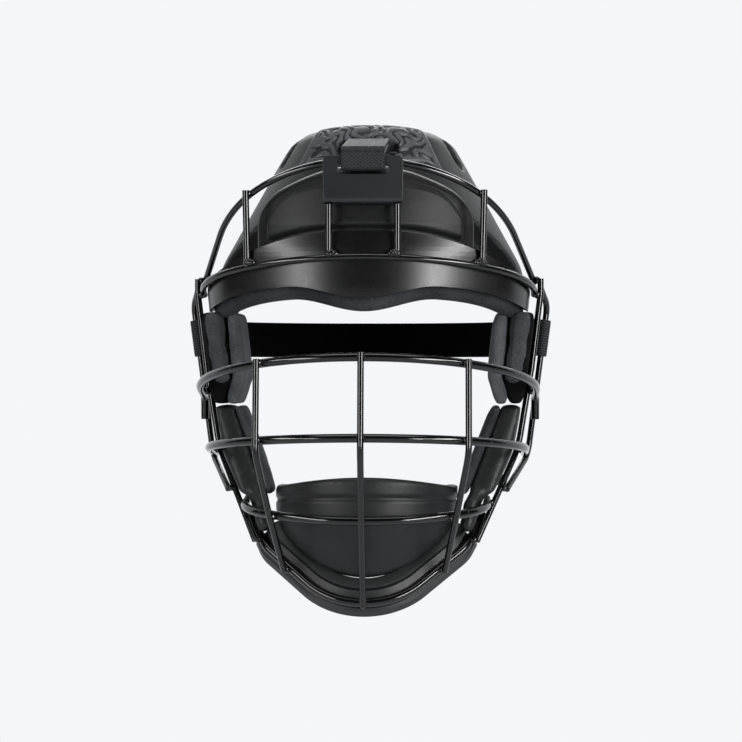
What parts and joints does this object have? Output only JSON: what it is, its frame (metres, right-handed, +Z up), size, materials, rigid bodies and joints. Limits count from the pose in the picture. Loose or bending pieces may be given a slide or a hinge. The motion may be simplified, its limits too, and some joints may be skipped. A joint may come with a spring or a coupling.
{
  "type": "field hockey face mask",
  "caption": "Black face mask for field hockey: a welded wire cage with a brow band, foam pads, a padded crown on a top strap and an elastic round the back of the head.",
  "frame": {"origin": "middle of the head opening, between the two side wires at eye level", "axes": "+X to the right as seen from the front, +Y to the back of the head, +Z up; the bars face -Y"},
  "size_m": [0.2182, 0.2429, 0.29],
  "materials": {
    "powder_black": "gloss powder coat",
    "moulded_black": "semi gloss moulded",
    "pad_black": "matt moulded foam cover",
    "lining_grey": "brushed lining",
    "webbing_black": "woven"
  },
  "bodies": {
    "cage": {"top_arc_wire": "powder_black", "brow_wire": "powder_black", "upper_face_bar": "powder_black", "lower_face_bar": "powder_black", "chin_bar": "powder_black", "bottom_bar": "powder_black", "centre_upright": "powder_black", "left_upright": "powder_black", "right_upright": "powder_black", "left_forehead_upright": "powder_black", "left_middle_forehead_upright": "powder_black", "right_middle_forehead_upright": "powder_black", "right_forehead_upright": "powder_black", "left_side_wire": "powder_black", "right_side_wire": "powder_black", "left_strap_wire": "powder_black", "right_strap_wire": "powder_black", "strap_plate": "powder_black", "brow_band": "moulded_black", "brow_lining": "lining_grey", "forehead_pad": "pad_black", "left_temple_pad": "pad_black", "right_temple_pad": "pad_black", "left_side_pad": "pad_black", "right_side_pad": "pad_black", "left_cheek_pad": "pad_black", "right_cheek_pad": "pad_black", "left_cheek_guard": "pad_black", "right_cheek_guard": "pad_black", "chin_pad": "pad_black", "chin_guard": "moulded_black", "top_strap": "webbing_black"},
    "crown": {"crown_pad": "pad_black", "crown_bar": "moulded_black", "rear_strap": "webbing_black"},
    "left_side_loop": {"left_side_loop": "webbing_black"},
    "right_side_loop": {"right_side_loop": "webbing_black"}
  },
  "joints": [
    {"name": "crown_hinge", "type": "hinge", "parent": "cage", "child": "crown", "pos_m": [0, -0.0045, 0.107], "axis": [1, 0, 0], "range_deg": [0, 8]},
    {"name": "left_loop_hinge", "type": "hinge", "parent": "cage", "child": "left_side_loop", "pos_m": [-0.10423, 0.00989, -0.0026], "axis": [-0.13, 0.0055, 0.9915], "range_deg": [0, 21.6]},
    {"name": "right_loop_hinge", "type": "hinge", "parent": "cage", "child": "right_side_loop", "pos_m": [0.10423, 0.00989, -0.0026], "axis": [-0.13, -0.0055, -0.9915], "range_deg": [0, 21.6]}
  ],
  "couplings": [
    {"joint": "left_loop_hinge", "follows": "crown_hinge", "ratio": 2.7},
    {"joint": "right_loop_hinge", "follows": "crown_hinge", "ratio": 2.7}
  ]
}
